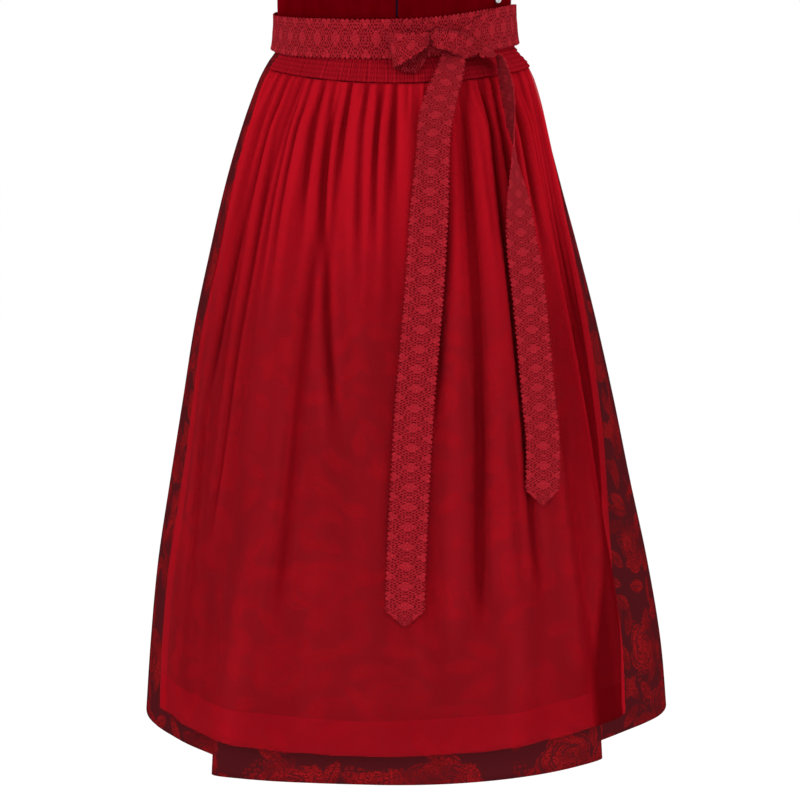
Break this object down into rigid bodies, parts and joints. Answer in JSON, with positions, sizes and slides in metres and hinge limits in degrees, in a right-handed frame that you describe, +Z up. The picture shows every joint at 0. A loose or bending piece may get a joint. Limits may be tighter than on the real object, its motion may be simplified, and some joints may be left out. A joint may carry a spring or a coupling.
{
  "type": "dirndl dress with apron",
  "caption": "Dirndl in its worn shape: velvet bodice with straps and front zip, pleated jacquard skirt, gathered organza apron and an embossed ribbon tied in a bow.",
  "frame": {"origin": "centre of the waist, at the middle of the ribbon's width, where the wearer's waist holds the dress", "axes": "+Z up along the body, -Y out of the dress's front, +X to the side of the bow (the wearer's left)"},
  "size_m": [0.5925, 0.5581, 1.1786],
  "materials": {
    "velvet": "cotton velvet with a short nap",
    "jacquard": "satin jacquard with woven flowers",
    "organza": "sheer shiny organza",
    "ribbon": "matt ribbon embossed with dotted diamonds",
    "zip_metal": "burnished",
    "button_metal": "polished rim, dark middle"
  },
  "bodies": {
    "dress": {"bodice_front_left": "velvet", "bodice_front_right": "velvet", "bodice_back": "velvet", "strap_left": "velvet", "strap_right": "velvet", "zip_chain": "zip_metal", "zip_slider": "zip_metal", "metal_button": "button_metal", "skirt_front": "jacquard", "skirt_back": "jacquard", "apron_shirring": "organza", "apron_panel": "organza", "apron_waistband": "ribbon", "tie_left": "ribbon", "tie_right": "ribbon", "bow_knot": "ribbon", "bow_loop": "ribbon", "tail_long": "ribbon", "tail_short": "ribbon"},
    "zip_pull": {"zip_pull_tab": "zip_metal"}
  },
  "joints": [
    {"name": "zip_pull_swing", "type": "hinge", "parent": "dress", "child": "zip_pull", "pos_m": [0, -0.1389, 0.1643], "axis": [1, 0, 0], "range_deg": [-165, 5]}
  ]
}
